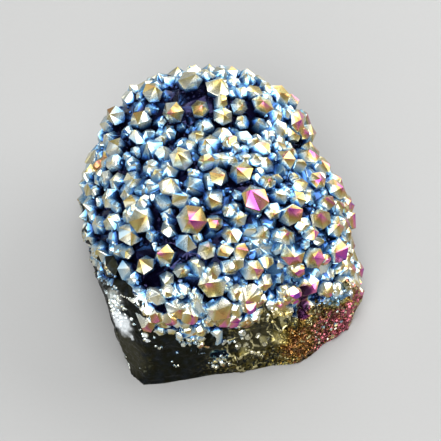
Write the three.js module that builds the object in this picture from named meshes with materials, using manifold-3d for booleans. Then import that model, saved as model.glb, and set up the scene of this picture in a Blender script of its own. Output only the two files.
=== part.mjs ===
// Aura quartz cluster: a broken piece of druse, which is a crust of quartz crystals standing on
// a rounded mass of quartz, coated all over with a thin film of metal. It grew as one piece, so
// the rounded mass and every crystal on it are joined into one solid. Millimetres, +Z up. It
// rests on the flat it was cut to, and the origin is under its middle, in that flat.

import * as THREE from "three";
import { ImprovedNoise } from "three/addons/math/ImprovedNoise.js";
import { MeshSurfaceSampler } from "three/addons/math/MeshSurfaceSampler.js";
import { mergeVertices } from "three/addons/utils/BufferGeometryUtils.js";
import Module from "manifold-3d";

const wasm = await Module();
wasm.setup();

// The rounded mass: overlapping ellipsoids, each with its centre, its half-axes and how far it
// leans, in degrees, towards +X and towards -Y.
const LOBES = [
  { at: [-0.7, -2.8, 8], radii: [21.6, 20.3, 17.9], lean: [8, 8] },
  { at: [8.9, -2.8, 7.5], radii: [13.2, 17.3, 15.4], lean: [10, 5] },
  { at: [-12, -17.3, 4], radii: [10, 14, 13], lean: [12, 0] },
  { at: [-12.4, 4.7, 10], radii: [10.4, 12.4, 12.4], lean: [0, 0] },
  { at: [15, -11.5, 3.6], radii: [9.3, 9.7, 8.2], lean: [0, 0] },
  { at: [-2.3, 14.2, 12.5], radii: [17.6, 11.2, 13.2], lean: [0, 0] },
  { at: [-1.6, -8.3, -2], radii: [24, 21, 13.5], lean: [0, 0] },
];
const LOBE_DETAIL = 3; // subdivisions of each ellipsoid's icosahedron
const LUMP_HEIGHT = 0.6; // how far the mass swells and sinks
const LUMP_WIDTH = 9; // how far apart the swellings are

// The broken faces: a point on each, the way it faces, how rough it is and, where the crust above
// it overhangs, the height of the overhang.
const FRACTURES = [
  { through: [-12.8, -27.6, 0], facing: [0.16, -0.95, 0.27], rough: 0.5 },
  { through: [12.3, -24.2, 0], facing: [0.6, -0.76, 0.25], rough: 0.5 },
  { through: [-12.8, -27.6, 0], facing: [-0.66, -0.7, 0.25], rough: 0.6 },
  { through: [-16.3, -22, 0], facing: [-0.95, -0.3, -0.08], rough: 0.7, ceiling: 15 },
  { through: [0, 21.7, 0], facing: [0.1, 0.98, 0.1], rough: 1.2, ceiling: 12 },
];
// The skin low on the front right, beyond this plane, where no crystal grew.
const BARE_SKIN = { through: [12, -20.4, 7.6], facing: [0.39, -0.88, -0.25] };
// Places on the rim of the druse where no crystal grew, each with its radius.
const BARE_PLACES = [
  { at: [-15.9, -17.4, 15.3], radius: 1.5 },
  { at: [24.2, -11.6, 3.1], radius: 1.5 },
];
const FRACTURE_CELL = 3.6; // the size of a fracture's facets
const FRACTURE_SPAN = 72; // wider than the whole piece
const FRACTURE_WAVES = [6, 2.7]; // the widths of a fracture's coarse and fine unevenness
const FRACTURE_CLEARANCE = 0.4; // from a crystal's middle to a broken face, in sizes
const OVERHANG_SLOPE = 0.45; // how steeply the underside of the overhanging crust runs outwards

// The crystals that lead the druse: where each stands, seen from above, and its size. A crystal's
// size is its apothem, the distance from its axis to a prism face.
const LEADING = [
  [-4.2, -10.5, 2.2], [5.6, -7.1, 2.1], [-11.2, 4.4, 2], [-6.4, 0.4, 1.8], [-1.7, 3.1, 2],
  [-1, -7.1, 1.7], [-4.2, -4.9, 1.7], [-12.3, -9.3, 2], [-16.4, -1, 1.7], [-8.6, -14.9, 1.7],
  [0.8, -14.5, 1.5], [2.9, -10, 1.4], [11.6, -7.9, 1.7], [10.6, -11.1, 1.5], [11.6, -13.7, 1.8],
  [15.2, -13.1, 1.7], [3.4, -2.1, 1.8], [4.8, -19.3, 1.8], [-1.2, -18.9, 2.1], [0.2, -21.3, 2],
  [-6.8, -21.3, 1.8],
];
const CRYSTAL_SIZES = [1.7, 1.45, 1.2];
const CRYSTAL_COUNTS = [62, 76, 42];
const SIZE_SPREAD = [0.9, 1.1]; // how far a crystal's size strays from its grade
const CROWDING = 0.86; // the least centre distance over the sum of two crystals' sizes
const TRIES = 6000; // places tried for each grade of crystal
const CRYSTAL_RISE = [0.25, 0.85]; // the prism's height above the mass, in sizes
const CRYSTAL_ROOT = 2.2; // how deep it is rooted below its shoulder, in sizes
const GROWTH = [0, -0.35, 0.94]; // the way that the druse as a whole grew
const GROWTH_PULL = 0.8; // how far the crystals turn that way from the mass's own normal
const CRYSTAL_TILT = 20; // the most that a crystal leans at random, in degrees
const LOWEST_CRYSTAL = 3; // height above the base below which the mass is bare
const POINT_HEIGHT = 0.8; // the point's height, in sizes
const POINT_OFFSET = [0.15, 0.6]; // how far the tip stands off the axis, in sizes
const BREADTH = [0.86, 1.16]; // how wide a crystal is one way, in sizes
const HABITS = 12; // different shapes of crystal

const noise = new ImprovedNoise();
THREE.MathUtils.seededRandom(20240);
const random = () => THREE.MathUtils.seededRandom();
const between = (low, high) => low + (high - low) * random();
const up = new THREE.Vector3(0, 0, 1);

// A closed three.js geometry as a manifold-3d solid.
function solid(geometry) {
  const bare = geometry.clone();
  for (const name of Object.keys(bare.attributes)) {
    if (name !== "position") bare.deleteAttribute(name);
  }
  const merged = mergeVertices(bare, 1e-4);
  return new wasm.Manifold(
    new wasm.Mesh({
      numProp: 3,
      vertProperties: merged.attributes.position.array,
      triVerts: new Uint32Array(merged.index.array),
    }),
  );
}

// A manifold-3d solid as a three.js geometry.
function geometryOf(made) {
  const { numProp, numVert, vertProperties, triVerts } = made.getMesh();
  const positions = new Float32Array(numVert * 3);
  for (let i = 0; i < numVert; i++) {
    positions.set(vertProperties.subarray(i * numProp, i * numProp + 3), i * 3);
  }
  return new THREE.BufferGeometry()
    .setAttribute("position", new THREE.BufferAttribute(positions, 3))
    .setIndex(new THREE.BufferAttribute(triVerts, 1));
}

// Moves every vertex along its own direction by what height says at its place.
function displace(geometry, directionOf, height) {
  const positions = geometry.attributes.position;
  const place = new THREE.Vector3();
  for (let i = 0; i < positions.count; i++) {
    place.fromBufferAttribute(positions, i);
    place.addScaledVector(directionOf(place), height(place));
    positions.setXYZ(i, place.x, place.y, place.z);
  }
  return geometry;
}

function ripple(place, width) {
  return noise.noise(place.x / width, place.y / width, place.z / width);
}

function lobe({ at, radii, lean }) {
  const centre = new THREE.Vector3(...at);
  const [right, forward] = lean.map(THREE.MathUtils.degToRad);
  const geometry = new THREE.IcosahedronGeometry(1, LOBE_DETAIL)
    .scale(...radii)
    .applyMatrix4(new THREE.Matrix4().makeRotationFromEuler(new THREE.Euler(forward, right, 0)))
    .translate(...at);
  const outwards = (place) => place.clone().sub(centre).normalize();
  return displace(geometry, outwards, (place) => LUMP_HEIGHT * ripple(place, LUMP_WIDTH));
}

// How far a place is in front of a broken face's plane.
function beyond({ through, facing }, place) {
  const outwards = new THREE.Vector3(...facing).normalize();
  return place.clone().sub(new THREE.Vector3(...through)).dot(outwards);
}

// The side of a fracture that broke away: a block with one rough face, ending under the overhang.
function brokenAway(fracture) {
  const { through, facing, rough, ceiling } = fracture;
  const outwards = new THREE.Vector3(...facing).normalize();
  const cells = Math.round(FRACTURE_SPAN / FRACTURE_CELL);
  const block = new THREE.BoxGeometry(
    FRACTURE_SPAN, FRACTURE_SPAN, FRACTURE_SPAN / 2, cells, cells, 1,
  )
    .translate(0, 0, FRACTURE_SPAN / 4)
    .applyQuaternion(new THREE.Quaternion().setFromUnitVectors(up, outwards))
    .translate(...through);
  const [coarse, fine] = FRACTURE_WAVES;
  const roughness = (place) => rough * (ripple(place, coarse) + 0.6 * ripple(place, fine));
  const height = (place) => (beyond(fracture, place) < 1e-3 ? roughness(place) : 0);
  const away = solid(displace(block, () => outwards, height));
  if (!ceiling) return away;
  const underside = new THREE.Vector3(
    OVERHANG_SLOPE * outwards.x, OVERHANG_SLOPE * outwards.y, -1,
  ).normalize();
  const edge = new THREE.Vector3(...through).setZ(ceiling);
  return away.trimByPlane(underside.toArray(), edge.dot(underside));
}

// Whether a crystal of some size may stand at a place, clear of the base and the broken faces.
function isDruse(place, size) {
  if (place.z < LOWEST_CRYSTAL || beyond(BARE_SKIN, place) > 0) return false;
  return FRACTURES.every(
    (one) =>
      (one.ceiling && place.z > one.ceiling) || beyond(one, place) < -FRACTURE_CLEARANCE * size,
  );
}

// Whether a spot is on one of the rim's bare places.
function isBare({ at: place }) {
  return BARE_PLACES.some(({ at, radius }) => place.distanceTo(new THREE.Vector3(...at)) < radius);
}

// One crystal of size 1 along +Z, its shoulder at z = 0: a six-sided prism, a little wider one
// way than the other, with a point whose tip stands off the axis, so that its six faces differ.
function crystalHabit() {
  const corner = 1 / Math.cos(Math.PI / 6);
  const profile = [
    [0, -CRYSTAL_ROOT], [corner, -CRYSTAL_ROOT], [corner, 0], [0, POINT_HEIGHT],
  ].map(([x, y]) => new THREE.Vector2(x, y));
  const breadth = between(...BREADTH);
  const geometry = new THREE.LatheGeometry(profile, 6)
    .rotateX(Math.PI / 2)
    .scale(breadth, 1 / breadth, 1);
  const aside = between(...POINT_OFFSET);
  const around = between(0, 2 * Math.PI);
  const off = new THREE.Vector3(aside * Math.cos(around), aside * Math.sin(around), 0);
  const isTip = (place) => place.z > POINT_HEIGHT / 2;
  return solid(displace(geometry, () => off, (place) => (isTip(place) ? 1 : 0)));
}

// Places on the mass for the crystals, the leading ones first and then the largest, none
// crowding another.
function scatter(surface) {
  const mesh = new THREE.Mesh(surface, new THREE.MeshBasicMaterial());
  const sampler = new MeshSurfaceSampler(mesh);
  sampler.setRandomGenerator(random).build();
  const down = up.clone().negate();
  const placed = LEADING.map(([x, y, size]) => {
    const ray = new THREE.Raycaster(new THREE.Vector3(x, y, FRACTURE_SPAN), down);
    const { point, face } = ray.intersectObject(mesh)[0];
    return { at: point, normal: face.normal.clone(), size };
  });
  CRYSTAL_SIZES.forEach((grade, index) => {
    let wanted = CRYSTAL_COUNTS[index];
    for (let tries = 0; tries < TRIES && wanted > 0; tries++) {
      const at = new THREE.Vector3();
      const normal = new THREE.Vector3();
      sampler.sample(at, normal);
      const size = grade * between(...SIZE_SPREAD);
      const isCrowded = placed.some(
        (other) => other.at.distanceTo(at) < CROWDING * (other.size + size),
      );
      if (isCrowded || !isDruse(at, size)) continue;
      placed.push({ at, normal, size });
      wanted--;
    }
  });
  return placed;
}

// A crystal at its place. It leans a little at random from a way between the mass's own normal and
// the way that the druse grew.
function crystal(habits, { at, normal, size }) {
  const lean = THREE.MathUtils.degToRad(CRYSTAL_TILT) * random() ** 0.7;
  const sideways = new THREE.Vector3(between(-1, 1), between(-1, 1), between(-1, 1));
  const axis = normal
    .clone()
    .addScaledVector(new THREE.Vector3(...GROWTH).normalize(), GROWTH_PULL)
    .normalize();
  axis.addScaledVector(sideways.cross(axis).normalize(), Math.tan(lean)).normalize();
  const turn = new THREE.Quaternion()
    .setFromUnitVectors(up, axis)
    .multiply(new THREE.Quaternion().setFromAxisAngle(up, between(0, (2 * Math.PI) / 3)));
  const shoulder = at.clone().addScaledVector(axis, size * between(...CRYSTAL_RISE));
  const placing = new THREE.Matrix4().compose(
    shoulder, turn, new THREE.Vector3(size, size, size),
  );
  const habit = habits[Math.floor(random() * habits.length)];
  return habit.transform(placing.toArray());
}

const lobes = wasm.Manifold.union(LOBES.map((one) => solid(lobe(one))));
const skin = geometryOf(lobes).toNonIndexed();
skin.computeVertexNormals();
const below = solid(
  new THREE.BoxGeometry(FRACTURE_SPAN, FRACTURE_SPAN, FRACTURE_SPAN)
    .translate(0, 0, -FRACTURE_SPAN / 2),
);
const mass = wasm.Manifold.difference([lobes, below, ...FRACTURES.map(brokenAway)]);
const habits = Array.from({ length: HABITS }, crystalHabit);
const spots = scatter(skin);
const druse = spots.map((spot) => crystal(habits, spot)).filter((_, i) => !isBare(spots[i]));
const grown = wasm.Manifold.union([mass, ...druse]).subtract(below);
// A crystal that a fracture cut loose fell away with it.
const cluster = grown.decompose().sort((a, b) => b.volume() - a.volume())[0];

const coated = new THREE.MeshStandardMaterial({
  name: "coated_quartz",
  color: new THREE.Color(0.3, 0.42, 0.62),
  roughness: 0.22,
  metalness: 0.9,
});
const geometry = geometryOf(cluster);
geometry.computeBoundingBox();
const middle = geometry.boundingBox.getCenter(new THREE.Vector3());
geometry.translate(-middle.x, -middle.y, 0);
const mesh = new THREE.Mesh(geometry, coated);
mesh.name = "quartz_cluster";
const group = new THREE.Group();
group.add(mesh);

export default group;
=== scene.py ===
"""Aura quartz cluster: a broken piece of druse whose crystals wear a thin iridescent metal film.

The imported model's one solid holds the rounded mass and the larger crystals. Here it gets its
broken stone, the lesser crystals and its film, each by an operator. Metres, +Z up.
"""

import math

import bpy
import numpy as np
from bpy.props import FloatProperty, FloatVectorProperty, IntProperty, PointerProperty
from mathutils import Matrix, Vector, noise
from mathutils.bvhtree import BVHTree


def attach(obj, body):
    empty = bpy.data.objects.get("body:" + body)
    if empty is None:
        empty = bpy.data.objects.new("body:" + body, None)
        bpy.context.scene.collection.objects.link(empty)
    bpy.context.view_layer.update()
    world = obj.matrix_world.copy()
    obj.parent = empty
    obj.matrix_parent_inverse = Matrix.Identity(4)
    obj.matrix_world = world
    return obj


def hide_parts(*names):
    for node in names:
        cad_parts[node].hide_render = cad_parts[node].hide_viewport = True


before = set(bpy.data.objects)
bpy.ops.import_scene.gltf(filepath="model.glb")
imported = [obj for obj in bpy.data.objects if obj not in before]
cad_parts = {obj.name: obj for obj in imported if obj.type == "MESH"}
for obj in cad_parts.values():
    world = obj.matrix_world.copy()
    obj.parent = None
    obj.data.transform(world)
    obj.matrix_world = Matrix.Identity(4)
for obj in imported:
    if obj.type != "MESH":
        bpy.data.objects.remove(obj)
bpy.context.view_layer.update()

bl_info = {
    "name": "Aura Quartz Cluster",
    "version": (1, 0, 0),
    "blender": (4, 5, 0),
    "location": "View3D > Sidebar > Quartz",
    "description": "Builds an iridescent quartz cluster around its packed model",
    "category": "Object",
}

MM = 0.001
NODE = "quartz_cluster"
PIECE = "coated_druse"
MEAN = "mean_surface"  # it stands in the scene until the film is on
NO_SHADE = -1.0  # in place of a shade of the film, on all that is not a crystal grown here

# All places and sizes down to the lights are in millimetres, unless they say otherwise.

# The broken faces: a point on each, the way it faces, the height of the druse that hangs over it
# and how far its unevenness goes.
FRACTURES = [
    ((-12.8, -27.6, 0.0), (0.16, -0.95, 0.27), 14.0, 1.0),
    ((12.3, -24.2, 0.0), (0.6, -0.76, 0.25), 11.0, 1.0),
    ((-12.8, -27.6, 0.0), (-0.66, -0.7, 0.25), 15.0, 1.1),
    ((-16.3, -22.0, 0.0), (-0.95, -0.3, -0.08), 15.0, 1.2),
    ((0.0, 21.7, 0.0), (0.1, 0.98, 0.1), 12.0, 1.8),
]
# The skin low at the front right, beyond this plane, where no large crystal grew.
BARE_SKIN = ((12.0, -20.4, 7.6), (0.39, -0.88, -0.25))

# Near and beyond this plane, the stone's film is brighter and its breaks are shallow bowls.
RIGHTWARDS = ((12.0, -20.0, 4.0), (0.95, -0.1, -0.25))

# Drapes of druse over the broken faces: the ends and half-width of each, its most crystals and
# their sizes.
DRAPES = [
    ((-10.0, -22.2, 13.8), (-4.0, -22.4, 12.8), 2.5, 34, (0.8, 1.35)),
    ((-4.0, -22.5, 12.0), (4.8, -21.2, 13.0), 2.6, 40, (0.8, 1.35)),
    ((4.8, -20.6, 15.0), (12.0, -18.4, 14.5), 1.2, 16, (0.8, 1.2)),
    ((-6.0, -23.6, 10.5), (-3.0, -24.0, 10.0), 1.0, 14, (0.5, 0.9)),
]
CORNER = ((-13.0, -27.4, 0.0), (-12.3, -24.5, 10.5))  # the ends of the edge at the left corner
# Bare strips of stone below the druse, at the left and at the front: their ends and half-widths.
STRIPS = [
    ((-18.8, -13.8, 16.6), (-12.6, -22.6, 13.2), 1.7),
    ((1.5, -23.2, 7.6), (9.5, -21.6, 7.8), 2.2),
]
# Crusts of tiny crystals on the stone, told as the drapes are.
CRUSTS = [
    ((-16.6, -20.8, 9.6), (-17.8, -18.6, 13.0), 1.4, 30, (0.16, 0.4)),
    ((-11.6, -24.4, 9.8), (-19.5, -15.0, 16.2), 0.8, 30, (0.14, 0.34)),
    ((-6.5, -23.6, 9.2), (-3.2, -24.3, 8.4), 0.8, 12, (0.2, 0.45)),
    ((-1.6, -24.6, 3.2), (1.6, -24.4, 2.4), 1.1, 15, (0.14, 0.4)),
    ((-8.0, -25.6, 4.0), (-7.2, -25.6, 3.4), 0.5, 4, (0.14, 0.26)),
    ((-10.3, -24.6, 8.2), (-9.8, -24.6, 8.0), 0.4, 3, (0.14, 0.26)),
    ((0.7, -22.9, 7.4), (9.0, -23.3, 1.6), 0.25, 24, (0.16, 0.42)),
    ((2.5, -22.2, 8.5), (7.0, -22.4, 5.0), 1.8, 7, (0.3, 0.65)),
    ((8.7, -20.4, 13.0), (8.0, -21.2, 10.0), 0.2, 10, (0.22, 0.4)),
    ((9.4, -20.4, 12.6), (11.8, -20.9, 8.9), 0.2, 12, (0.2, 0.4)),
    ((11.5, -21.8, 4.0), (20.0, -16.6, 3.0), 3.4, 230, (0.16, 0.42)),
    ((17.5, -15.5, 9.5), (20.5, -14.5, 8.5), 2.0, 20, (0.16, 0.42)),
]
UNDERSIDE = (0.42, -0.8, -0.42)  # the way that the sides with a thicker film face
# A dark violet fold at the front right, where no crystal grew: its ends and half-width.
FOLD = ((13.9, -17.3, 14.4), (13.7, -18.6, 8.8), 1.5)
# White bruises on the left corner: the middle and radius of each, and how white it is.
BRUISES = [
    ((-16.5, -20.9, 9.9), 3.0, 1.0),
    ((-17.7, -18.7, 13.0), 2.6, 0.4),
    ((-12.4, -24.1, 10.8), 0.7, 0.9),
    ((-12.0, -24.4, 9.9), 0.55, 0.9),
    ((-14.7, -23.0, 8.4), 0.7, 0.8),
]
# Stains on the stone, and one painted fill light on the shaded left face: the middle and radius of
# each, the film's thickness there, from 0 to 1 along its colours, and how bright the film is.
STAINS_AND_FILL_LIGHT = [
    ((-17.8, -18.6, 13.2), 2.2, 0.42, 0.45),
    ((-12.5, -24.2, 11.0), 0.9, 0.44, 0.7),
    ((5.5, -22.0, 6.5), 4.2, 0.6, 0.13),
    ((9.4, -20.2, 11.4), 3.4, 0.6, 0.13),
    ((12.8, -21.3, 3.8), 4.2, 0.75, 0.5),
    ((10.2, -22.0, 6.4), 2.2, 0.62, 0.85),
    ((19.2, -15.0, 9.2), 3.2, 0.37, 0.4),
    ((21.7, -13.8, 7.1), 1.6, 0.66, 1.0),
    ((-0.2, -24.1, 4.5), 3.0, 0.6, 0.04),
    ((-0.8, -24.1, 4.6), 1.3, 0.1, 0.3),
    ((0.6, -24.0, 4.4), 1.2, 0.12, 0.3),
    # Painted fill light: brightens the shaded left face.
    ((-16.5, -23.5, 4.0), 6.0, 0.56, 0.1),
]
# Where large crystals low at the front grew on in steps, and the size of each.
HEADS = [
    ((-0.8, -19.3, 18.8), 1.35),
    ((0.2, -22.3, 15.6), 1.4),
    ((5.1, -20.1, 16.8), 1.25),
    ((5.6, -20.3, 12.9), 1.2),
    ((-7.3, -22.2, 15.9), 1.25),
    ((-3.9, -20.6, 17.1), 1.05),
    ((-7.0, -19.2, 17.6), 1.1),
    ((3.7, -15.5, 19.7), 1.1),
    ((-11.2, -20.0, 17.2), 1.0),
]
# Shells broken out of the stone at the front right: the middle and radius of the faceted ball that
# fills each, and how finely it is faceted.
SHELLS = [
    ((10.4, -22.5, 12.2), 4.0, 1),
    ((7.4, -24.5, 8.0), 4.3, 1),
    ((12.9, -22.6, 7.4), 3.2, 2),
    ((3.6, -25.0, 6.2), 3.2, 2),
]
# Where the crystals' film differs: the middle and radius of each place and how thick it is there.
TINTS = [
    ((5.5, -22.5, 5.0), 4.6, 0.57),
    ((19.5, -15.0, 8.0), 3.6, 0.34),
    ((9.6, -20.8, 10.8), 2.6, 0.64),
    ((-20.3, 5.7, 18.0), 2.6, 0.75),
]
# The crystals between the larger ones, grade by grade: their sizes, how many, how far above the
# mean surface the ground they grow on may be, and how high their tips stand.
GRADES = [
    ((1.15, 1.5), 110, 0.3, (0.5, 1.5)),
    ((0.8, 1.15), 105, -0.3, (-0.1, 1.0)),
]
GRADE_TRIES, DRAPE_TRIES = 12000, 60000  # how many places are looked at
GRADE_LEAST_GAP = 0.85  # between two of a grade, in sizes
CRUST_LEAST_GAP = 0.75  # between two in a crust or a drape
FINE_SIZES = (0.2, 0.45)
FINE_LEAN = math.radians(35)  # the most that a fine crystal leans
HEAD_LEAN = math.radians(8)
SHARP = math.radians(22)  # from which angle on an edge between two faces shows
PIT_WIDTH = 5.0  # how far apart the open pits in the druse are
PIT_SPAN = 40 * MM  # how quickly they grow rarer towards the right
GAP_DEPTH = 1.5  # how far the gaps between the crystals are sunk

STEP_WIDTH = 5.0  # of the shallow steps in the broken stone
BOWL_WIDTH = 3.4  # of the bowls in it
BOWL_DEPTH = 1.1
CORNER_WIDTH = 2.2  # how far from its edge the left corner is rounded
BASE_RIM = 0.5  # up to this height there are no crusts and no bright edges

HEXAGON_CORNER = 1 / math.cos(math.pi / 6)  # corner distance of a hexagon of apothem 1
POINT_SLOPE = math.radians(39)  # of the point's faces, from the base plane
GROWTH = Vector((0, -0.35, 0.94))  # the way that the druse as a whole grew
GROWTH_PULL = 0.8  # how far the crystals turn that way from the surface's own normal
REACH = 8 * MM  # farther out than any crystal
CRYSTAL_ROOT = 3.4  # how deep a crystal is rooted below its shoulder, in sizes
CRYSTAL_REACH = 1.6  # within which a crystal can touch another, in sizes

MIDDLE = Vector((0, -2.7, 13)) * MM  # what the camera and the lights look at
# The lights: the way to each, its width in metres and how bright it is.
LIGHTS = {
    "key": ((-0.2, -0.45, 0.84), 0.4, 4.8),
    "top": ((0.0, 0.25, 1.0), 0.36, 5.5),
    "back": ((0.25, 0.9, 0.42), 0.5, 3.5),
    "left": ((-0.85, 0.35, 0.3), 0.42, 1.5),
    "right": ((0.85, 0.45, 0.35), 0.5, 5.8),
    "front": ((-0.2, -0.84, 0.54), 0.42, 4.6),
}
LIGHT_DISTANCE = 0.5  # in metres


# --- mesh tools ---


def enter(mode):
    bpy.ops.object.mode_set(mode=mode)


def deselect():
    if bpy.context.object and bpy.context.object.mode != "OBJECT":
        enter("OBJECT")
    bpy.ops.object.select_all(action="DESELECT")


def take(piece):
    """Makes a piece the only one selected, and the active one."""
    deselect()
    piece.select_set(True)
    bpy.context.view_layer.objects.active = piece


def edit(piece, *steps):
    """Runs edit-mode operators, each on the whole of a piece."""
    take(piece)
    enter("EDIT")
    for step in steps:
        bpy.ops.mesh.select_all(action="SELECT")
        step()
    enter("OBJECT")


def modify(piece, kind, **settings):
    """Adds a modifier to a piece and applies it."""
    take(piece)
    modifier = piece.modifiers.new(kind.title(), kind)
    for name, value in settings.items():
        setattr(modifier, name, value)
    bpy.ops.object.modifier_apply(modifier=modifier.name)


def choose(piece, kind, chosen):
    """Selects just the chosen corners or edges of a piece, in edit mode."""
    take(piece)
    enter("EDIT")
    bpy.ops.mesh.select_mode(type=kind)
    bpy.ops.mesh.select_all(action="DESELECT")
    enter("OBJECT")
    elements = {"VERT": piece.data.vertices, "EDGE": piece.data.edges}[kind]
    elements.foreach_set("select", chosen)
    enter("EDIT")


def new_piece(name, mesh):
    piece = bpy.data.objects.new(name, mesh)
    bpy.context.scene.collection.objects.link(piece)
    return piece


def remove(*pieces):
    for piece in pieces:
        mesh = piece.data
        bpy.data.objects.remove(piece)
        bpy.data.meshes.remove(mesh)


def combine(piece, other, operation):
    """Joins another closed mesh into a piece or cuts it away from it, and removes the other."""
    modify(piece, "BOOLEAN", operation=operation, solver="MANIFOLD", object=other)
    remove(other)


def read(elements, name, width=3, kind=np.float64):
    """What a mesh's corners, edges or faces say under a name, one row for each."""
    values = np.empty(len(elements) * width, dtype=kind)
    elements.foreach_get(name, values)
    return values.reshape(-1, width)


def painted(piece, name):
    return read(piece.data.attributes[name].data, "value", 1, np.float32).ravel()


def paint(piece, name, values, domain="POINT"):
    """Gives each corner or face of a piece a number for its material to read."""
    mesh = piece.data
    attribute = mesh.attributes.get(name) or mesh.attributes.new(name, "FLOAT", domain)
    attribute.data.foreach_set("value", np.asarray(values, dtype=np.float32))


def corner_places(mesh):
    return read(mesh.vertices, "co")


def edge_ends(mesh):
    return read(mesh.edges, "vertices", 2, np.int32)


def face_middles(mesh):
    return read(mesh.polygons, "center")


def face_normals(mesh):
    return read(mesh.polygons, "normal")


def tree_of(piece):
    mesh = piece.data
    corners = [corner.co.copy() for corner in mesh.vertices]
    return BVHTree.FromPolygons(corners, [tuple(face.vertices) for face in mesh.polygons])


def scattered(piece, count, random):
    """Random places on a piece's surface, with their normals."""
    mesh = piece.data
    mesh.calc_loop_triangles()
    corners = corner_places(mesh)
    triangles = np.array([triangle.vertices for triangle in mesh.loop_triangles])
    a, b, c = (corners[triangles[:, i]] for i in range(3))
    across = np.cross(b - a, c - a)
    area = np.linalg.norm(across, axis=1)
    chosen = random.choice(len(triangles), count, p=area / area.sum())
    u, v = random.random((2, count, 1))
    flip = u + v > 1
    u, v = np.where(flip, 1 - u, u), np.where(flip, 1 - v, v)
    places = a[chosen] + u * (b - a)[chosen] + v * (c - a)[chosen]
    return places, across[chosen] / area[chosen][:, None]


# --- where is what ---

CEILING_MARGIN = 1.0  # how far a broken face reaches up under the druse
CORNER_MARGIN = 3.0  # how near the left corner no crystal grew
DRAPE_FRINGE = 0.4  # the outer part of a drape, where the stone shows
DRUSE_FOOT = 3.0  # the height where the crystals begin


def beyond(plane, places):
    """How far places are in front of a plane, in millimetres."""
    facing = np.array(plane[1]) / np.linalg.norm(plane[1])
    return (np.asarray(places) / MM - np.array(plane[0])) @ facing


def broken_depth(places):
    """How far places are in front of the nearest broken face, in millimetres, below 0 inside."""
    depth = np.full(len(places), -np.inf)
    for through, facing, ceiling, _ in FRACTURES:
        ahead = beyond((through, facing), places)
        ahead = np.where(places[:, 2] / MM > ceiling + CEILING_MARGIN, -np.inf, ahead)
        depth = np.maximum(depth, ahead)
    return depth


def is_near(stretch, places, half_width):
    """Which places are within a half-width of the line from end to end of a stretch."""
    start, end = (np.array(one) * MM for one in stretch[:2])
    along = (places - start) @ (end - start) / ((end - start) @ (end - start))
    nearest = start + np.clip(along, 0, 1)[:, None] * (end - start)
    return np.linalg.norm(places - nearest, axis=1) < half_width * MM


def is_draped(places):
    """Which places on the broken faces the druse hangs over."""
    return np.any([is_near(drape, places, drape[2] - DRAPE_FRINGE) for drape in DRAPES], axis=0)


def is_druse(places, margin):
    """Which places crystals may stand at, clear of the base and of the broken faces."""
    clear = (places[:, 2] > DRUSE_FOOT * MM) & (beyond(BARE_SKIN, places) < -margin)
    clear &= ~is_near(CORNER, places, CORNER_MARGIN) & ~is_near(FOLD, places, FOLD[2])
    for strip in STRIPS:
        clear &= ~is_near(strip, places, strip[2] + margin)
    return clear & (broken_depth(places) < -margin)


def is_rock(mesh, mean):
    """Which faces of a mesh are broken stone or bare skin."""
    middles, normals = face_middles(mesh), face_normals(mesh)
    # Bare skin: near its plane and level with the mean surface.
    rock = (beyond(BARE_SKIN, middles) > -2.5) & (middles[:, 2] > 0.1 * MM)
    tree = tree_of(mean)
    for index in np.nonzero(rock)[0]:
        _, upwards, _, _ = tree.find_nearest(Vector(middles[index]))
        rock[index] = upwards.dot(Vector(normals[index])) > 0.92
    # Broken faces: near the plane of one and turned its way.
    for through, facing, ceiling, unevenness in FRACTURES:
        towards = normals @ (np.array(facing) / np.linalg.norm(facing))
        near = (np.abs(beyond((through, facing), middles)) < unevenness) & (towards > 0.45)
        rock |= near & (middles[:, 2] < (ceiling + CEILING_MARGIN) * MM)
    # Shells: on the ball that fills one and turned to its middle.
    for centre, radius, _ in SHELLS:
        towards = np.array(centre) * MM - middles
        rock |= (
            (np.einsum("ij,ij->i", towards, normals) > 0.7 * radius * MM)
            & (np.linalg.norm(towards, axis=1) < 1.02 * radius * MM)
        )
    is_underside = normals[:, 2] < -0.9
    return rock & ~is_underside


# --- the stone ---

MOST_SPLITS = 8  # how many times an edge may be halved


def refine(piece, mean, longest):
    """Splits the edges of the stone's faces until none is longer than it may be."""
    mesh = piece.data
    for _ in range(MOST_SPLITS):
        places, ends = corner_places(mesh), edge_ends(mesh)
        chosen = np.zeros(len(ends), dtype=bool)
        for index in np.nonzero(is_rock(mesh, mean))[0]:
            loops = mesh.polygons[index].loop_indices
            chosen[[mesh.loops[loop].edge_index for loop in loops]] = True
        chosen &= np.linalg.norm(places[ends[:, 0]] - places[ends[:, 1]], axis=1) > longest
        if not chosen.any():
            break
        choose(piece, "EDGE", chosen)
        bpy.ops.mesh.subdivide(ngon=False)
        bpy.ops.mesh.select_all(action="SELECT")
        bpy.ops.mesh.quads_convert_to_tris(quad_method="SHORTEST_DIAGONAL")
        enter("OBJECT")


def roughen(piece, mean, height):
    """Moves the corners inside the stone's faces outwards by what height says."""
    mesh = piece.data
    rock = is_rock(mesh, mean)
    inside = np.ones(len(mesh.vertices), dtype=bool)
    outwards = np.zeros((len(mesh.vertices), 3))
    normals = face_normals(mesh)
    for index, face in enumerate(mesh.polygons):
        corners = list(face.vertices)
        outwards[corners] += normals[index]
        if not rock[index]:
            inside[corners] = False
    outwards /= np.maximum(np.linalg.norm(outwards, axis=1), 1e-9)[:, None]
    places = corner_places(mesh)
    for index in np.nonzero(inside)[0]:
        places[index] += outwards[index] * height(Vector(places[index] / MM)) * MM
    places[:, 2] = np.maximum(places[:, 2], 0)
    mesh.vertices.foreach_set("co", places.ravel())
    mesh.update()


def round_off(piece, edge, width, passes):
    """Rounds the stone off along an edge, given by its ends in millimetres."""
    places = corner_places(piece.data)
    is_base = places[:, 2] < 0.05 * MM
    choose(piece, "VERT", is_near(edge, places, width) & ~is_base)
    bpy.ops.mesh.vertices_smooth(factor=0.5, repeat=passes)
    enter("OBJECT")


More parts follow.
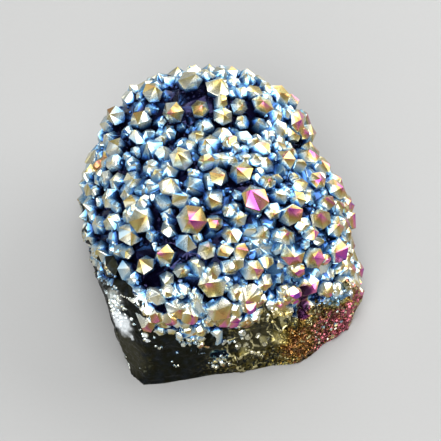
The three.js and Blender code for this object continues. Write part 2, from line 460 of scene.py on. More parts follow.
def rock_height(grain, relief):
    """Broken quartz: steps, lesser steps and grain, bowls at the right, all fainter in shells."""
    def height(place):
        steps = noise.ridged_multi_fractal(place / STEP_WIDTH, 0.9, 2.0, 2, 0.9, 2.0) - 1
        lesser = noise.cell(place / (3 * grain)) + 0.6 * noise.noise(place / (2 * grain))
        dust = noise.noise(place / grain)
        bowls = noise.voronoi(place / BOWL_WIDTH)[0][0] ** 2 - 0.3
        rightwards = min(max((beyond(RIGHTWARDS, place * MM) + 12) / 4, 0), 1)
        breaks = 0.25 * steps + 0.12 * lesser + 0.16 * dust + rightwards * BOWL_DEPTH * bowls
        in_shell = any((place - Vector(centre)).length < radius for centre, radius, _ in SHELLS)
        return relief * breaks * (0.25 if in_shell else 1)

    return height


# --- the crystals ---


def crystal_habit(name, setbacks, breadth):
    """A six-sided quartz point of apothem 1 along +Z with its shoulder about z = 0, cut from a
    prism by six sloping planes, each set back a little or a lot."""
    deselect()
    bpy.ops.mesh.primitive_cylinder_add(
        vertices=6, radius=HEXAGON_CORNER, depth=CRYSTAL_ROOT + 2,
        location=(0, 0, 1 - CRYSTAL_ROOT / 2), rotation=(0, 0, math.pi / 6),
    )
    habit = bpy.context.object
    habit.name = name
    bpy.ops.object.transform_apply()

    def cut(side, setback):
        around = math.radians(60 * side)
        level, rise = math.sin(POINT_SLOPE), math.cos(POINT_SLOPE)
        normal = Vector((level * math.cos(around), level * math.sin(around), rise))
        bpy.ops.mesh.bisect(
            plane_co=normal * (level - setback), plane_no=normal, use_fill=True, clear_outer=True,
        )

    cuts = [lambda one=one: cut(*one) for one in enumerate(setbacks)]
    edit(
        habit, *cuts,
        lambda: bpy.ops.transform.resize(value=(breadth, 1 / breadth, 1)),
        lambda: bpy.ops.mesh.normals_make_consistent(),
    )
    return habit


def crystal_habits(random, count):
    """Different shapes of crystal, whose points have three large faces and three lesser ones."""
    habits = []
    for index in range(count):
        setbacks = [random.uniform(0, 0.06 if side % 2 else 0.22) for side in range(6)]
        setbacks[0] += random.uniform(0, 0.3)
        habits.append(crystal_habit(f"habit_{index}", setbacks, random.uniform(0.88, 1.14)))
    return habits


def upright(normal):
    """The way between a surface's normal and the way that the druse grew."""
    return (Vector(normal) + GROWTH.normalized() * GROWTH_PULL).normalized()


def standing(place, normal, size, height, lean, random, turned=None):
    """The matrix of a crystal whose shoulder stands at a height over a place, leaning at random
    by up to lean from upright, and turned about its axis at random unless told how."""
    straight = upright(normal)
    sideways = Vector(random.uniform(-1, 1, 3)).cross(straight).normalized()
    axis = (straight + sideways * math.tan(lean * random.random() ** 0.7)).normalized()
    turn = axis.to_track_quat("Z", "Y").to_matrix().to_4x4()
    around = random.uniform(0, 2 * math.pi) if turned is None else turned
    spin = Matrix.Rotation(around, 4, "Z")
    shoulder = Matrix.Translation(Vector(place) + axis * height)
    return shoulder @ turn @ spin @ Matrix.Diagonal((size, size, size, 1))


def clump(matrix, count, spread, random):
    """A crystal and lesser ones that grew from its point the same way up, up to spread aside."""
    grown = [matrix]
    for _ in range(count):
        around, aside = random.uniform(0, 2 * math.pi), random.uniform(0.5, 1) * spread
        beside = Vector((aside * math.cos(around), aside * math.sin(around), 0))
        beside.z = random.uniform(-0.35, 0.1)
        size = Matrix.Scale(random.uniform(0.5, 0.75), 4)
        grown.append(matrix @ Matrix.Translation(beside) @ size)
    return grown


def crowd(habits, matrices, random, tones):
    """Many crystals as one joined mesh, each a closed copy of one of the habits."""
    kinds = random.integers(0, len(habits), len(matrices))
    corners, faces, shades, offset = [], [], [], 0
    for kind, habit in enumerate(habits):
        shape = np.array([(*vertex.co, 1) for vertex in habit.data.vertices])
        sides = [tuple(face.vertices) for face in habit.data.polygons]
        for matrix in (m for m, k in zip(matrices, kinds) if k == kind):
            corners.append((shape @ np.array(matrix).T)[:, :3])
            faces += [tuple(offset + index for index in side) for side in sides]
            shades += [random.uniform(*tones)] * len(sides)
            offset += len(shape)
    mesh = bpy.data.meshes.new("growing")
    mesh.from_pydata(np.concatenate(corners).tolist(), [], faces)
    piece = new_piece("growing", mesh)
    paint(piece, "shade", shades, "FACE")
    return piece


def batches_of(matrices):
    """Splits crystals into batches in which none can touch another."""
    batches = []
    for matrix in matrices:
        centre = np.array(matrix.translation)
        reach = CRYSTAL_REACH * matrix.to_scale().x
        for centres, reaches, batch in batches:
            apart = np.linalg.norm(np.array(centres) - centre, axis=1)
            if np.all(apart > np.array(reaches) + reach):
                break
        else:
            centres, reaches, batch = [], [], []
            batches.append((centres, reaches, batch))
        centres.append(centre)
        reaches.append(reach)
        batch.append(matrix)
    return [batch for _, _, batch in batches]


def grow_on(piece, habits, matrices, random, tones=(0.25, 0.75)):
    """Joins crystals into a piece as one solid, each with its own shade of film within tones."""
    for batch in batches_of(matrices):
        combine(piece, crowd(habits, batch, random, tones), "UNION")


def spaced(places, normals, allowed, sizes, least_gap, most, random, is_open=None):
    """Picks some of the allowed places for crystals of some size, none crowding another."""
    widths = random.uniform(*sizes, allowed.sum()) * MM
    taken, reaches, found = np.empty((0, 3)), np.empty(0), []
    for place, normal, size in zip(places[allowed], normals[allowed], widths):
        apart = np.linalg.norm(taken - place, axis=1)
        if np.any(apart < least_gap * (reaches + size)):
            continue
        place, normal = Vector(place), Vector(normal)
        if is_open and not is_open(place, normal, size):
            continue
        taken, reaches = np.vstack([taken, place]), np.append(reaches, size)
        found.append((place, normal, size))
        if len(found) == most:
            break
    return found


def beside(tree, ends, half_width, count, random):
    """Random places on a surface, mostly within a half-width of a line, with their normals."""
    start, end = (np.array(one) for one in ends)
    aside = random.normal(0, half_width / 2, (count, 3))
    sought = start + random.random((count, 1)) * (end - start) + aside
    found = [tree.find_nearest(Vector(place) * MM) for place in sought]
    return np.array([near for near, *_ in found]), np.array([way for _, way, *_ in found])


def encrust(piece, habits, places, normals, count, sizes, random):
    """Grows tiny crystals at some of the places."""
    clear = places[:, 2] > BASE_RIM * MM
    found = spaced(places, normals, clear, sizes, CRUST_LEAST_GAP, count, random)
    grow_on(piece, habits, [
        standing(place, normal, size, random.uniform(0, 1) * size, FINE_LEAN, random)
        for place, normal, size in found
    ], random)


def level_off(piece):
    """Cuts away what reaches below the base."""
    deselect()
    bpy.ops.mesh.primitive_cube_add(size=1, location=(0, 0, -0.5))
    combine(piece, bpy.context.object, "DIFFERENCE")


def openness(piece, room, limit):
    """A test of whether nothing of a piece stands higher than limit around a place."""
    tree = tree_of(piece)

    def height(place, normal):
        hit, _, _, distance = tree.ray_cast(place + normal * REACH, -normal)
        return REACH - distance if hit else -REACH

    def is_open(place, normal, size):
        rare = -0.28 - max(place.x + 4 * MM, 0) / PIT_SPAN
        if noise.noise(place / (PIT_WIDTH * MM)) < rare or height(place, normal) > limit:
            return False
        side = normal.orthogonal().normalized() * room * size
        turns = (Matrix.Rotation(math.radians(60 * step), 3, normal) for step in range(6))
        return all(height(place + turn @ side, normal) < limit for turn in turns)

    return is_open


def mean_surface(piece):
    """The druse's mean surface: the piece closed over at about a crystal's width."""
    mean = new_piece(MEAN, piece.data.copy())
    modify(mean, "REMESH", mode="VOXEL", voxel_size=0.9 * MM)
    modify(mean, "SMOOTH", factor=0.5, iterations=40)
    return mean


def heights(places, mean):
    """How far places are above the mean surface, in millimetres, and which way crystals grow."""
    tree = tree_of(mean)
    rises, ways = [], []
    for place in places:
        near, normal, _, _ = tree.find_nearest(Vector(place))
        rises.append((Vector(place) - near).dot(normal) / MM)
        ways.append(upright(normal))
    return np.array(rises), np.array(ways)


def deepen(piece, mean, depth):
    """Sinks the gaps between the crystals along the crystals' sides, less so at the right."""
    mesh = piece.data
    places = corner_places(mesh)
    rises, ways = heights(places, mean)
    inside = is_druse(places, 0.8)
    shallower = np.clip(places[:, 0] / MM / 12, 0, 1) * 0.5
    sink = np.clip((0.1 - rises) / 1.4, 0, 1) * depth * (1 - shallower) * inside
    mesh.vertices.foreach_set("co", (places - ways * sink[:, None]).ravel())
    mesh.update()


def convexity(mesh):
    """How far each corner stands out from those around it, 0 where it is flat."""
    places, ends = corner_places(mesh), edge_ends(mesh).T
    away, length = np.zeros_like(places), np.full(len(places), 1e-9)
    for one, other in (ends, ends[::-1]):
        apart = places[one] - places[other]
        np.add.at(away, one, apart)
        np.add.at(length, one, np.linalg.norm(apart, axis=1))
    return np.einsum("ij,ij->i", away, read(mesh.vertices, "normal")) / length


def is_bare(mesh, mean, shades, rises):
    """Which faces of the finished mesh have the stone's look rather than the crystals'."""
    middles = face_middles(mesh)
    low = (rises < 0.7) | (middles[:, 2] < 5 * MM)
    bare = is_rock(mesh, mean) & ~is_draped(middles) & low
    for strip in STRIPS:
        bare |= is_near(strip, middles, strip[2]) & (rises < 0.4)
    bare &= shades < 0
    # On the skin, most of the tiny crystals are as dull as the stone.
    rightwards = beyond(RIGHTWARDS, middles)
    skin = (beyond(BARE_SKIN, middles) > -1.2) & (rightwards > -4)
    return bare | (skin & (shades < np.where(rightwards > 3.5, 0.66, 0.74)))


def facet_shades(mesh):
    """A number from 0 to 1 for each flat face, the same all over that face."""
    normals, middles = face_normals(mesh), face_middles(mesh)
    offsets = np.einsum("ij,ij->i", normals, middles) / MM
    keys = np.column_stack([np.round(normals * 40), np.round(offsets * 30)])
    return np.abs(np.sin(keys @ np.array([12.9898, 78.233, 37.719, 4.581])) * 43758.5453) % 1


# --- materials ---

# How wide the marks in the film and its relief are.
PATCH, MOTTLE, SWELL, FINE_MARK, CHIP, GRAIN = (
    width * MM for width in (7, 1.2, 1.1, 0.4, 0.38, 0.16)
)
# Beyond this plane the crystals' heads get a painted highlight: a paler film, whiter on their
# upward sides.
LOW_FRONT = ((0, -11, 14), (0, -0.9, -0.3))
WARM_FROM = (0, -4, 14)  # the middle of how the film thickens across the piece

# How thick the film is where it has each of its colours.
STOPS = {
    "deep": 0.11, "blue": 0.22, "sky": 0.34, "pale": 0.43, "cream": 0.53,
    "gold": 0.64, "orange": 0.74, "pink": 0.83, "magenta": 0.92,
}
THINNEST, THICKEST = (0.006, 0.005, 0.028), (0.2, 0.04, 0.35)
# A painted highlight: the whitish colour mixed into the upward sides of the heads low at the
# front.
HEAD_HIGHLIGHT = (0.86, 0.84, 0.72)
# The stone's brightness ramp; its bright end also serves for painted glints.
PARTLY_POLISHED, POLISH_AND_GLINT = (0.38, 0.36, 0.22), (1.0, 0.95, 0.75)
FOLD_DULLING = (0.13, 0.2, 0.13)
BRUISED_WHITE = (0.72, 0.76, 0.78)


class Value:
    """A node's output, on which Python's operators add Math nodes."""

    def __init__(self, coat, socket):
        self.coat, self.socket = coat, socket

    def maths(self, operation, *others):
        return self.coat.node("ShaderNodeMath", {"operation": operation}, self, *others)

    def __add__(self, other):
        return self.maths("ADD", other)

    def __sub__(self, other):
        return self.maths("SUBTRACT", other)

    def __rsub__(self, other):
        return self.coat.node("ShaderNodeMath", {"operation": "SUBTRACT"}, other, self)

    def __mul__(self, other):
        return self.maths("MULTIPLY", other)

    __radd__, __rmul__ = __add__, __mul__

    def towards(self, other, amount):
        """This value where the amount is 0, the other where it is 1."""
        return self + amount * (other - self)

    def limited(self):
        return self.coat.node("ShaderNodeClamp", {}, self, 0, 1)

    def between(self, low, high):
        """0 below low, 1 above high and smooth between."""
        settings = {"interpolation_type": "SMOOTHSTEP"}
        return self.coat.node("ShaderNodeMapRange", settings, self, low, high, 0, 1)


def greatest(values):
    most = 0.0
    for value in values:
        most = value.maths("MAXIMUM", most)
    return most


class Coat:
    """A new material's nodes."""

    def __init__(self, name):
        self.material = bpy.data.materials.new(name)
        self.material.use_nodes = True
        self.tree = self.material.node_tree
        self.tree.nodes.clear()
        self.place = self.node("ShaderNodeTexCoord", {"output": "Object"})

    def node(self, kind, settings=None, *values, **named):
        """Adds a node with its settings, then its sockets' values or links, and returns the output
        that the settings name, or else its first."""
        settings = dict(settings or {})
        output = settings.pop("output", None)
        stops = settings.pop("stops", None)
        made = self.tree.nodes.new(kind)
        for name, value in settings.items():
            setattr(made, name, value)
        if stops:
            ramp = made.color_ramp
            while len(ramp.elements) < len(stops):
                ramp.elements.new(1)
            for element, (position, colour) in zip(ramp.elements, stops):
                element.position, element.color = position, (*colour, 1)
        pairs = list(zip([socket for socket in made.inputs if socket.enabled], values))
        pairs += [(made.inputs[name.replace("_", " ")], value) for name, value in named.items()]
        for socket, value in pairs:
            if isinstance(value, Value):
                self.tree.links.new(value.socket, socket)
            elif socket.type == "RGBA":
                socket.default_value = (*value, 1)
            else:
                socket.default_value = value
        outputs = [socket for socket in made.outputs if socket.enabled]
        return Value(self, made.outputs[output] if output else outputs[0])

    def painted(self, name):
        return self.node("ShaderNodeAttribute", {"attribute_name": name, "output": "Fac"})

    def noise(self, width, detail):
        """Noise from 0 to 1 whose swellings are about width metres across."""
        return self.node(
            "ShaderNodeTexNoise", {"output": "Fac"},
            Vector=self.place, Scale=1 / width, Detail=detail,
        )

    def cells(self, width, output):
        """The colour or the distance of cells about width metres across."""
        return self.node(
            "ShaderNodeTexVoronoi", {"output": output}, Vector=self.place, Scale=1 / width,
        )

    def ramp(self, amount, stops):
        return self.node("ShaderNodeValToRGB", {"stops": stops, "output": "Color"}, amount)

    def mix(self, amount, first, second, blend="MIX"):
        settings = {"data_type": "RGBA", "blend_type": blend}
        return self.node("ShaderNodeMix", settings, amount, first, second)

    def measured(self, operation, vector):
        settings = {"operation": operation, "output": "Value"}
        return self.node("ShaderNodeVectorMath", settings, self.place, vector)

    def ahead_of(self, plane):
        """How far the surface is in front of a plane, in millimetres."""
        through, facing = Vector(plane[0]), Vector(plane[1]).normalized()
        return self.measured("DOT_PRODUCT", facing / MM) - through.dot(facing)

    def near(self, centre, radius):
        """1 near a place, fading to 0 at a radius from it, both in millimetres."""
        apart = self.measured("DISTANCE", Vector(centre) * MM) * (1 / MM)
        return 1 - apart.maths("DIVIDE", radius).between(0.5, 1)

    def finish(self, **sockets):
        """Ends the material in one shader with these sockets."""
        shader = self.node("ShaderNodeBsdfPrincipled", {"output": "BSDF"}, **sockets)
        output = self.tree.nodes.new("ShaderNodeOutputMaterial")
        self.tree.links.new(shader.socket, output.inputs["Surface"])
        return self.material


class Film(Coat):
    """Thin metal film on quartz. Its colour runs through the film's own sequence as it thickens:
    thinnest in the gaps, where its near-black colour is partly painted shade, thickest on the tips
    and towards the lower right. The heads low at the front get a painted highlight."""

    def __init__(self, look):
        super().__init__("iridescent_film")
        self.look = look
        self.rise, self.facet = self.painted("rise"), self.painted("facet")
        self.rock, self.below = self.painted("rock"), self.painted("below")
        self.patches = self.noise(PATCH, 1) - 0.5
        self.mottle = self.noise(MOTTLE, 3) - 0.5
        self.fine = self.noise(FINE_MARK, 3)
        self.chips = self.cells(CHIP, "Color") - 0.5
        self.rightwards = self.ahead_of(RIGHTWARDS) + self.patches * 8
        self.grainy = self.rightwards.between(-6, 0)
        # The heads low at the front, and those of their sides that don't face down, which get a
        # painted highlight.
        self.low_front = self.ahead_of(LOW_FRONT).between(0, 9)
        self.heads = self.low_front * self.rise.between(-0.4, 0.4)
        self.lit_tops = self.heads * (1 - self.below.between(-0.3, 0.2))

    def on_crystals(self):
        """How thick the film is on the crystals, from 0 to 1 along its colours."""
        look, rise = self.look, self.rise
        warm_side = self.ahead_of((WARM_FROM, look.thickens_towards)).between(-14, 16)
        # Below the mean surface the film thins towards near black: a thinner film and partly
        # painted shade in the gaps, weaker on the warm side.
        thickness = (
            look.mean_thickness
            + self.painted("facing").limited() * look.thickness_facing
            + rise.maths("MINIMUM", 0.0) * (look.thinning_and_shade_per_depth - warm_side * 0.14)
            + rise.maths("MAXIMUM", 0.0) * (look.thickness_per_rise + warm_side * 0.18)
            + warm_side * 0.05
            + self.below.limited() * (look.thickness_below + self.low_front * 0.03)
            + (self.facet - 0.5) * look.facet_spread
            + (self.painted("shade") - 0.5) * 0.32
            + self.patches * 0.14
            + self.mottle * 0.1
        )
        # Painted highlight: the heads low at the front, their upward sides the most, are pulled
        # towards a pale film.
        return thickness.towards(look.head_highlight_thickness, self.heads * 0.3 + self.lit_tops * 0.25)

    def on_stone(self):
        """How thick the film is on the stone, from 0 to 1 along its colours, and how bright,
        partly as painted glints.
        """
        rightwards, grainy, chips, mottle = self.rightwards, self.grainy, self.chips, self.mottle
        thickness = (
            0.62 + rightwards.between(-3, 12) * 0.26 + mottle * 0.35 + grainy * (chips * 0.2)
        ).maths("MINIMUM", 0.82)
        # Brighter towards the right; the grains' bright specks and the extra brightness at the far
        # right are partly painted glints.
        polish_and_glints = (
            rightwards.between(-14, 6) * (0.34 + chips * 1.5) + rightwards.between(3, 9) * 0.34
        )
        # Stains, and one painted fill light on the left face.
        for centre, radius, film_there, brightness_there in STAINS_AND_FILL_LIGHT:
            amount = self.near(centre, radius + mottle * (0.8 * radius))
            thickness = thickness.towards(film_there + mottle * 0.1, amount)
            polish_and_glints = polish_and_glints.towards(brightness_there + grainy * (chips * 0.8), amount)
        # Painted highlight along the stone's convex edges, in a gold film.
        gilt_edge_highlight = self.painted("edge").between(0.04, 0.19) * rightwards.between(-15, -7)
        return thickness.towards(0.57, gilt_edge_highlight), polish_and_glints + gilt_edge_highlight * 0.8

    def in_fold(self):
        """1 in the dark violet fold, 0 outside it."""
        start, end, half_width = FOLD
        places = [Vector(start).lerp(end, along) for along in (0.0, 0.33, 0.67, 1.0)]
        return greatest(self.near(place, half_width) for place in places)

    def bruised(self):
        """How white the quartz is where a knock took the film off."""
        return greatest(
            self.near(centre, radius + self.mottle * (0.9 * radius)) * whiteness
            for centre, radius, whiteness in BRUISES
        ) * (0.5 + self.fine * 0.7)

    def relief(self):
        """Growth lines and swells on the crystals, grains and chips besides on the stone."""
        growth_lines = self.node(
            "ShaderNodeTexNoise", {"noise_dimensions": "1D", "output": "Fac"},
            W=self.rise * 5.0 + self.facet * 40.0, Scale=1.0, Detail=2.0,
        )
        broken = self.noise(GRAIN, 3) * 0.5 + self.grainy * (self.cells(CHIP, "Distance") * 2.5)
        height = self.noise(SWELL, 1) * 0.15 + self.fine * 0.08 + growth_lines * 0.2
        return self.node(
            "ShaderNodeBump", Strength=0.5, Distance=0.12 * MM, Height=height + self.rock * broken,
        )


def film_material(look):
    film = Film(look)
    rock, fold, bruised = film.rock, film.in_fold(), film.bruised()
    on_stone, polish_and_glints = film.on_stone()
    thickness = film.on_crystals().towards(on_stone, rock).towards(0.95, fold)
    for *place, film_there in TINTS:
        amount = film.near(*place) * (1 - rock)
        thickness = thickness.towards(film_there + film.mottle * 0.2, amount)

    stops = [(stop, getattr(look, name)) for name, stop in STOPS.items()]
    tint = film.ramp(thickness, [(0.0, THINNEST), *stops, (1.0, THICKEST)])
    # Painted highlight: the upward sides of the heads low at the front are whitened.
    tint = film.mix(film.lit_tops * (1 - rock) * 0.42, tint, HEAD_HIGHLIGHT)
    stone = film.ramp(polish_and_glints, [(0, look.dull), (0.5, PARTLY_POLISHED), (1, POLISH_AND_GLINT)])
    dulling = film.mix(fold, film.mix(rock, (1, 1, 1), stone), FOLD_DULLING)
    tint = film.mix(1.0, tint, dulling, "MULTIPLY")
    tint = film.mix(bruised, tint, BRUISED_WHITE)
    roughness = 0.24 + film.mottle * 0.2 + rock * (0.16 - film.grainy * 0.14)
    return film.finish(
        Base_Color=tint, Metallic=0.8 + rock * 0.15 - bruised * 0.7,
        Roughness=roughness.limited(), Normal=film.relief(),
    )


def floor_material(tint):
    coat = Coat("pale_floor")
    darker = [0.97 * part for part in tint]
    return coat.finish(
        Base_Color=coat.mix(coat.noise(0.6 * MM, 2), tint, darker),
        Roughness=0.7, Specular_IOR_Level=0.2,
    )


# --- settings ---


def number(name, description, default, **kind):
    return FloatProperty(name=name, description=description, default=default, **kind)


def colour(name, description, default):
    return FloatVectorProperty(
        name=name, description=description, default=default, min=0, max=1, subtype="COLOR",
    )


class QuartzDruse(bpy.types.PropertyGroup):
    fine: IntProperty(name="Fine Crystals", description="The most of them", default=1400)
    tilt: number("Lean", "The most from upright", math.radians(22), subtype="ANGLE")
    seed: IntProperty(name="Seed", description="Another seed grows other crystals", default=7)


class QuartzStone(bpy.types.PropertyGroup):
    grain: number(
        "Grain", "Width of the grains of the broken faces", 0.45 * MM,
        subtype="DISTANCE", unit="LENGTH",
    )
    relief: number("Relief", "How rough the broken faces are, 1 as found", 1.0)


class QuartzFilm(bpy.types.PropertyGroup):
    # The near-black film in the gaps is partly painted shade.
    deep: colour("Deep", "Film in the gaps", (0.007, 0.014, 0.05))
    blue: colour("Blue", "Film low on the crystals", (0.022, 0.085, 0.26))
    sky: colour("Sky", "Film on their shoulders", (0.13, 0.3, 0.48))
    pale: colour("Pale", "Film above the blue", (0.36, 0.49, 0.56))
    cream: colour("Cream", "Film between pale and gold", (0.62, 0.61, 0.5))
    gold: colour("Gold", "Film near the tips", (0.4, 0.34, 0.12))
    orange: colour("Orange", "Film after the gold", (0.4, 0.22, 0.07))
    pink: colour("Pink", "Film on the highest tips", (0.52, 0.14, 0.27))
    magenta: colour("Magenta", "The thickest film", (0.34, 0.045, 0.24))
    dull: colour("Dulling", "What broken stone leaves of the film", (0.024, 0.031, 0.047))
    mean_thickness: number("Thickness", "On upright sides, 0 to 1 along the colours", 0.225)
    thickness_facing: number("Thickening by Facing", "More on faces along the growth", 0.17)
    thickness_per_rise: number("Thickening Upwards", "Per millimetre above the mean surface", 0.18)
    # How fast the film thins and darkens below the mean surface, partly as painted shade in the
    # gaps.
    thinning_and_shade_per_depth: number("Thinning Downwards", "Per millimetre below that surface", 0.36)
    thickens_towards: FloatVectorProperty(
        name="Thickens Towards", description="The way the film thickens across the piece",
        default=(0.8, -0.5, 0.2), subtype="DIRECTION",
    )
    # Painted highlight: the pale film that the heads low at the front are pulled towards.
    head_highlight_thickness: number("Low Heads", "Thickness that the heads low at the front near", 0.47)
    thickness_below: number("Thickening Below", "More on the sides towards the front right", 0.12)
    facet_spread: number("Facet Spread", "How much one face differs from another", 0.26)


class QuartzStudio(bpy.types.PropertyGroup):
    elevation: number("Elevation", "The camera's angle", math.radians(56), subtype="ANGLE")
    distance: number(
        "Distance", "From the camera to the piece", 0.26, subtype="DISTANCE", unit="LENGTH",
    )
    lens: number("Lens", "Its focal length", 125, unit="CAMERA")
    floor: colour("Floor", "The pale floor", (0.27, 0.27, 0.266))
    key: number("Key", "Brightness of the lights", 1.0)
    ambient: number("Ambient", "Brightness of the room", 0.22)


# --- operators ---


def ready_to_grow(context, stage, shapes):
    """The druse's settings, a stage's own random source, the piece and some shapes of crystal."""
    druse = context.scene.quartz_druse
    random = np.random.default_rng(druse.seed + stage)
    return druse, random, bpy.data.objects[PIECE], crystal_habits(random, shapes)


class QUARTZ_OT_stone(bpy.types.Operator):
    """Copies the mass with its larger crystals and gives its broken faces their grain"""

    bl_idname = "quartz.stone"
    bl_label = "Stone"

    def execute(self, context):
        stone = context.scene.quartz_stone
        piece = new_piece(PIECE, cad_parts[NODE].data.copy())
        piece.data.name = PIECE
        piece.data.materials.clear()
        edit(piece, lambda: bpy.ops.mesh.remove_doubles(threshold=0.001 * MM))
        mean = mean_surface(piece)
        deepen(piece, mean, GAP_DEPTH * MM)
        for centre, radius, facets in SHELLS:
            deselect()
            bpy.ops.mesh.primitive_ico_sphere_add(
                subdivisions=facets, radius=radius * MM, location=Vector(centre) * MM,
            )
            combine(piece, context.object, "DIFFERENCE")
        refine(piece, mean, longest=1.1 * stone.grain)
        round_off(piece, CORNER, CORNER_WIDTH, passes=40)
        roughen(piece, mean, rock_height(stone.grain / MM, stone.relief))
        paint(piece, "shade", np.full(len(piece.data.polygons), NO_SHADE), "FACE")
        return {"FINISHED"}


class QUARTZ_OT_lesser_crystals(bpy.types.Operator):
    """Grows the lesser crystals between the larger ones"""

    bl_idname = "quartz.lesser_crystals"
    bl_label = "Lesser Crystals"

    def execute(self, context):
        druse, random, piece, habits = ready_to_grow(context, 0, 8)
        mean = bpy.data.objects[MEAN]
        tree = tree_of(mean)
        for place, size in HEADS:
            _, normal, _, _ = tree.find_nearest(Vector(place) * MM)
            head = standing(
                Vector(place) * MM, normal, size * MM, 0, HEAD_LEAN, random, math.pi / 6,
            )
            grow_on(piece, habits, clump(head, 5, 1.15, random), random)
        for sizes, count, ground, tips in GRADES:
            places, normals = scattered(mean, GRADE_TRIES, random)
            allowed, is_open = is_druse(places, 0.4), openness(piece, 0.6, ground * MM)
            grown = []
            for place, normal, size in spaced(
                places, normals, allowed, sizes, GRADE_LEAST_GAP, count, random, is_open,
            ):
                height = random.uniform(*tips) * MM - 0.8 * size
                grown.append(standing(place, normal, size, height, druse.tilt, random))
            grow_on(piece, habits, [
                one for crystal in grown
                for one in clump(crystal, random.choice([0, 0, 0, 1, 2]), 0.75, random)
            ], random)
        remove(*habits)
        return {"FINISHED"}


class QUARTZ_OT_fine_crystals(bpy.types.Operator):
    """Grows the fine crystals that line the gaps and stand against the others"""

    bl_idname = "quartz.fine_crystals"
    bl_label = "Fine Crystals"

    def execute(self, context):
        druse, random, piece, habits = ready_to_grow(context, 1, 6)
        places, normals = scattered(piece, 4 * druse.fine, random)
        tree = tree_of(bpy.data.objects[MEAN])
        allowed = is_druse(places, 0.3)
        grown = []
        for place, normal in zip(places[allowed], normals[allowed]):
            near, upwards, _, _ = tree.find_nearest(Vector(place))
            rise = (Vector(place) - near).dot(upwards) / MM
            # The lowest gaps hold the most.
            if rise > -0.2 or random.random() < 0.3 + 0.5 * (rise > -0.9):
                continue
            size = random.uniform(*FINE_SIZES) * MM
            outwards = (Vector(normal) * 0.5 + upwards).normalized()
            height = random.uniform(0.2, 1.2) * size
            grown.append(standing(place, outwards, size, height, FINE_LEAN, random))
            if len(grown) == druse.fine:
                break
        # The fine crystals low in the gaps get a thinner, darker film, partly as painted shade.
        grow_on(piece, habits, grown, random, tones=(0.05, 0.3))
        remove(*habits)
        return {"FINISHED"}


class QUARTZ_OT_crusts(bpy.types.Operator):
    """Grows crusts of tiny crystals on the broken faces"""

    bl_idname = "quartz.crusts"
    bl_label = "Crusts"

    def execute(self, context):
        _, random, piece, habits = ready_to_grow(context, 2, 4)
        places, normals = scattered(piece, DRAPE_TRIES, random)
        for *ends, half_width, count, sizes in DRAPES:
            reach = half_width * random.random(len(places)) ** 0.5
            near = is_near(ends, places, reach)
            encrust(piece, habits, places[near], normals[near], count, sizes, random)
        tree = tree_of(piece)
        for *ends, half_width, count, sizes in CRUSTS:
            near, ways = beside(tree, ends, half_width, 6 * count, random)
            encrust(piece, habits, near, ways, count, sizes, random)
        level_off(piece)
        remove(*habits)
        return {"FINISHED"}


class QUARTZ_OT_film(bpy.types.Operator):
    """Coats the finished cluster with its film"""

    bl_idname = "quartz.film"
    bl_label = "Film"

    def execute(self, context):
        piece, mean = bpy.data.objects[PIECE], bpy.data.objects[MEAN]
        mesh = piece.data
        shades, normals = painted(piece, "shade"), face_normals(mesh)
        rises, ways = heights(face_middles(mesh), mean)
        rock = is_bare(mesh, mean, shades, rises)
        paint(piece, "rock", rock, "FACE")
        paint(piece, "shade", np.where(shades < 0, 0.5, shades), "FACE")
        paint(piece, "facet", np.where(rock, 0.5, facet_shades(mesh)), "FACE")
        paint(piece, "facing", np.einsum("ij,ij->i", normals, ways), "FACE")
        paint(piece, "below", normals @ np.array(UNDERSIDE), "FACE")
        places = corner_places(mesh)
        rises, _ = heights(places, mean)
        # The drapes hang below the rest, so they have a scale of their own.
        paint(piece, "rise", np.where(is_draped(places), 1.6 * rises - 1.1, rises))
        # Where the stone's convex edges get a painted highlight, away from the crystals and the
        # base.
        on_stone = places[:, 2] > BASE_RIM * MM
        for face in np.nonzero(~rock | (shades >= 0))[0]:
            on_stone[list(mesh.polygons[face].vertices)] = False
        paint(piece, "edge", convexity(mesh) * on_stone)
        mesh.materials.clear()
        mesh.materials.append(film_material(context.scene.quartz_film))
        mesh.polygons.foreach_set("material_index", np.zeros(len(mesh.polygons), dtype=np.int32))
        take(piece)
        bpy.ops.object.shade_smooth_by_angle(angle=SHARP)
        remove(mean)
        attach(piece, "root")
        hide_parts(NODE)
        return {"FINISHED"}


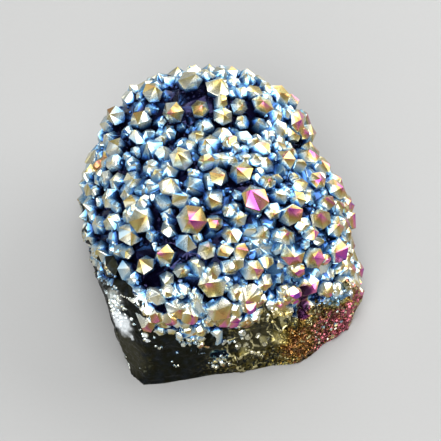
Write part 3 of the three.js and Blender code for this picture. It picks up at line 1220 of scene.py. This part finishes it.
class QUARTZ_OT_studio(bpy.types.Operator):
    """Makes the floor, the lights and the camera"""

    bl_idname = "quartz.studio"
    bl_label = "Studio"

    def execute(self, context):
        studio = context.scene.quartz_studio
        deselect()
        bpy.ops.mesh.primitive_plane_add(size=4)
        floor = context.object
        floor.name = "floor"
        edit(floor, lambda: bpy.ops.mesh.subdivide(number_cuts=4))
        floor.data.materials.append(floor_material(studio.floor))

        world = bpy.data.worlds.new("room")
        world.use_nodes = True
        background = world.node_tree.nodes["Background"]
        background.inputs["Color"].default_value = (0.9, 0.95, 1.0, 1)
        background.inputs["Strength"].default_value = studio.ambient
        context.scene.world = world

        for name, (way, width, brightness) in LIGHTS.items():
            self.light(name, way, width, brightness * studio.key)
        self.camera(context, studio)
        context.scene.view_settings.view_transform = "Standard"
        return {"FINISHED"}

    def light(self, name, way, width, brightness):
        place = MIDDLE + Vector(way).normalized() * LIGHT_DISTANCE
        deselect()
        bpy.ops.object.light_add(type="AREA", location=place)
        lamp = bpy.context.object
        lamp.name = name
        lamp.rotation_euler = (place - MIDDLE).to_track_quat("Z", "Y").to_euler()
        lamp.data.shape = "DISK"
        lamp.data.size = width
        lamp.data.energy = brightness * math.pi * math.pi * (width / 2) ** 2

    def camera(self, context, studio):
        back = Vector((0, -math.cos(studio.elevation), math.sin(studio.elevation)))
        bpy.ops.object.camera_add(
            location=MIDDLE + back * studio.distance,
            rotation=(math.pi / 2 - studio.elevation, 0, 0),
        )
        camera = context.object
        camera.data.lens = studio.lens
        camera.data.clip_start = 0.01
        context.scene.camera = camera


OPERATORS = [
    QUARTZ_OT_stone, QUARTZ_OT_lesser_crystals, QUARTZ_OT_fine_crystals, QUARTZ_OT_crusts,
    QUARTZ_OT_film, QUARTZ_OT_studio,
]
SETTINGS = {
    "quartz_druse": QuartzDruse,
    "quartz_stone": QuartzStone,
    "quartz_film": QuartzFilm,
    "quartz_studio": QuartzStudio,
}


class QUARTZ_PT_cluster(bpy.types.Panel):
    bl_idname = "QUARTZ_PT_cluster"
    bl_label = "Quartz Cluster"
    bl_space_type = "VIEW_3D"
    bl_region_type = "UI"
    bl_category = "Quartz"

    def draw(self, context):
        for name in SETTINGS:
            settings = getattr(context.scene, name)
            box = self.layout.box()
            for prop in settings.__annotations__:
                box.prop(settings, prop)
        for operator in OPERATORS:
            self.layout.operator(operator.bl_idname)


CLASSES = [*SETTINGS.values(), *OPERATORS, QUARTZ_PT_cluster]


def register():
    for one in CLASSES:
        bpy.utils.register_class(one)
    for name, group in SETTINGS.items():
        setattr(bpy.types.Scene, name, PointerProperty(type=group))


def unregister():
    for name in SETTINGS:
        delattr(bpy.types.Scene, name)
    for one in reversed(CLASSES):
        bpy.utils.unregister_class(one)


def main():
    register()
    bpy.ops.quartz.stone()
    bpy.ops.quartz.lesser_crystals()
    bpy.ops.quartz.fine_crystals()
    bpy.ops.quartz.crusts()
    bpy.ops.quartz.film()
    bpy.ops.quartz.studio()


if __name__ == "__main__":
    main()
